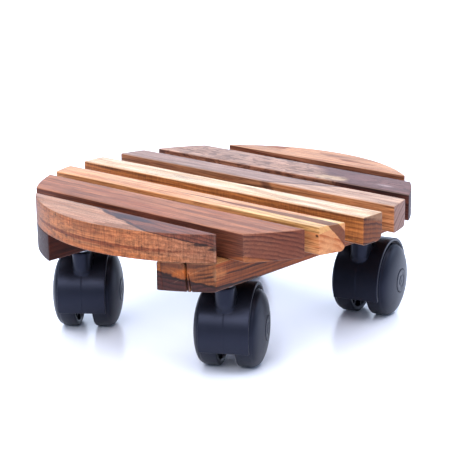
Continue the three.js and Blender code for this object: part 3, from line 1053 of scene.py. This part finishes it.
def mark_grain(piece, along_y):
    """Stores on each vertex how much it faces along the grain or up, and is on a worn edge."""
    mesh = piece.data
    end = mesh.attributes.new("end_grain", "FLOAT", "POINT")
    edge = mesh.attributes.new("edge_wear", "FLOAT", "POINT")
    face_up = mesh.attributes.new("face_up", "FLOAT", "POINT")
    normals = [entry.vector.copy() for entry in mesh.vertex_normals]
    for index, normal in enumerate(normals):
        along = abs(normal.y if along_y else normal.x)
        end.data[index].value = smooth_step(0.25, 0.9, along)
        face_up.data[index].value = smooth_step(0.4, 0.95, normal.z)
        edge.data[index].value = smooth_step(0.3, 1.0, 4 * normal.z ** 2 * (1 - normal.z ** 2))


PLASTIC_CLOUD = "15161c"
PLASTIC_SPECULAR, PLASTIC_SHEEN = 0.27, (0.58, 0.64, 1.0, 1)


def plastic_material(name, code, roughness):
    """Satin black plastic with a fine moulded grain and bluish highlights."""
    plastic = Shader(name)
    place = plastic.place_mm()
    grain = plastic.noise(place, (5, 5, 5), 2)
    cloud = plastic.noise(place, (0.12, 0.12, 0.12), 2)
    plastic.set("Base Color", plastic.mix(cloud, tone(code), tone(PLASTIC_CLOUD)))
    plastic.set("Roughness", plastic.add(plastic.times(cloud, 0.12), roughness))
    plastic.set("Specular IOR Level", PLASTIC_SPECULAR)
    plastic.set("Specular Tint", PLASTIC_SHEEN)
    plastic.set("Normal", plastic.bump(grain, 0.03, 0.35))
    return plastic.material


def metal_material(name, light, dark, roughness):
    """Plated or bright steel, a little uneven."""
    metal = Shader(name)
    place = metal.place_mm()
    cloud = metal.noise(place, (0.5, 0.5, 0.5), 3)
    scratches = metal.noise(place, (1, 1, 12), 2)
    metal.set("Base Color", metal.mix(cloud, tone(light), tone(dark)))
    metal.set("Metallic", 1.0)
    metal.set("Roughness", metal.add(metal.times(scratches, 0.2), roughness))
    metal.set("Normal", metal.bump(scratches, 0.01, 0.4))
    return metal.material


# ------------------------------------------------------------------ assembly
def paint(piece, material):
    """Gives a piece its only material."""
    piece.data.materials.clear()
    piece.data.materials.append(material)


def paint_node(name, material):
    """Gives a CAD node its material."""
    node = NODES[name]
    for slot in node.material_slots:
        slot.link = "OBJECT"
        slot.material = material


def build_deck():
    """The slats and crossbars. Gives back the middle of each screw."""
    screws = {name: sum(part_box(name), Vector()) / 2 for name in SCREWS}
    for seed, name in enumerate(SLATS + CROSSBARS):
        board = make_board(name, seed)
        along_y = name in CROSSBARS
        if along_y:
            side = "left" if name.endswith("left") else "right"
            cutters = [countersink_mesh(p.x, p.y) for n, p in screws.items() if n.endswith(side)]
            if side == "right":
                cutters += [crack_mesh(*split) for split in CROSSBAR_SPLITS]
            carve(board, cutters)
        mark_grain(board, along_y)
        paint(board, Wood(name + "_wood", BOARD_WOOD[name], seed, along_y).finished())
        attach(board, "deck")
        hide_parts(name)
    return screws


SCREW_TURN = 37


def build_screws(screws, zinc):
    """The fourteen screws, each turned a little further than the one before."""
    mesh = screw_mesh()
    for index, (name, middle) in enumerate(screws.items()):
        piece = link(name + "_driven", mesh)
        piece.matrix_world = (
            Matrix.Translation((middle.x, middle.y, CROSSBAR_BOTTOM + 0.0001))
            @ Matrix.Rotation(math.radians(SCREW_TURN * index), 4, "Z")
        )
        paint(piece, zinc)
        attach(piece, "deck")
        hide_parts(name)


def build_casters(zinc, steel, hood_black, wheel_black):
    """Four alike casters, with their hidden hardware shown by the CAD's own solids."""
    hood, wheel, cap, stem = hood_mesh(), wheel_mesh(), cap_mesh(), stem_mesh()
    axle_place = Matrix.Translation((0, AXLE_TRAIL * MM, WHEEL_RADIUS * MM))
    half_turn = Matrix.Rotation(math.pi, 4, "Z")
    for name in CASTERS:
        place = caster_matrix(name)
        pieces = [
            ("stem", stem, place, "deck", zinc, "zinc_steel"),
            ("hood", hood, place, f"{name}_caster", hood_black, "hood_plastic"),
        ]
        for side, turn in (("a", half_turn), ("b", Matrix.Identity(4))):
            wheel_place, body = place @ axle_place @ turn, f"{name}_wheel_{side}"
            for part, mesh in ((f"wheel_{side}", wheel), (f"hub_cap_{side}", cap)):
                pieces.append((part, mesh, wheel_place, body, wheel_black, "wheel_plastic"))
        for part, mesh, matrix, body, material, slot in pieces:
            piece = link(f"{name}_{part}_shown", mesh)
            piece.matrix_world = matrix
            paint(piece, material)
            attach(piece, body)
            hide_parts(f"{name}_{part}")
        for part, material in (("axle", steel), ("retaining_ring", steel), ("insert_nut", zinc)):
            paint_node(f"{name}_{part}", material)


add_camera()
add_floor()
add_surround()
add_lights()
zinc = metal_material("zinc_plate", "a9acb3", "83868f", 0.32)
steel = metal_material("bright_steel", "b9bcc2", "8f939b", 0.2)
build_screws(build_deck(), zinc)
build_casters(
    zinc, steel,
    plastic_material("hood_black", "0e0f14", 0.3), plastic_material("wheel_black", "0d0e12", 0.34),
)
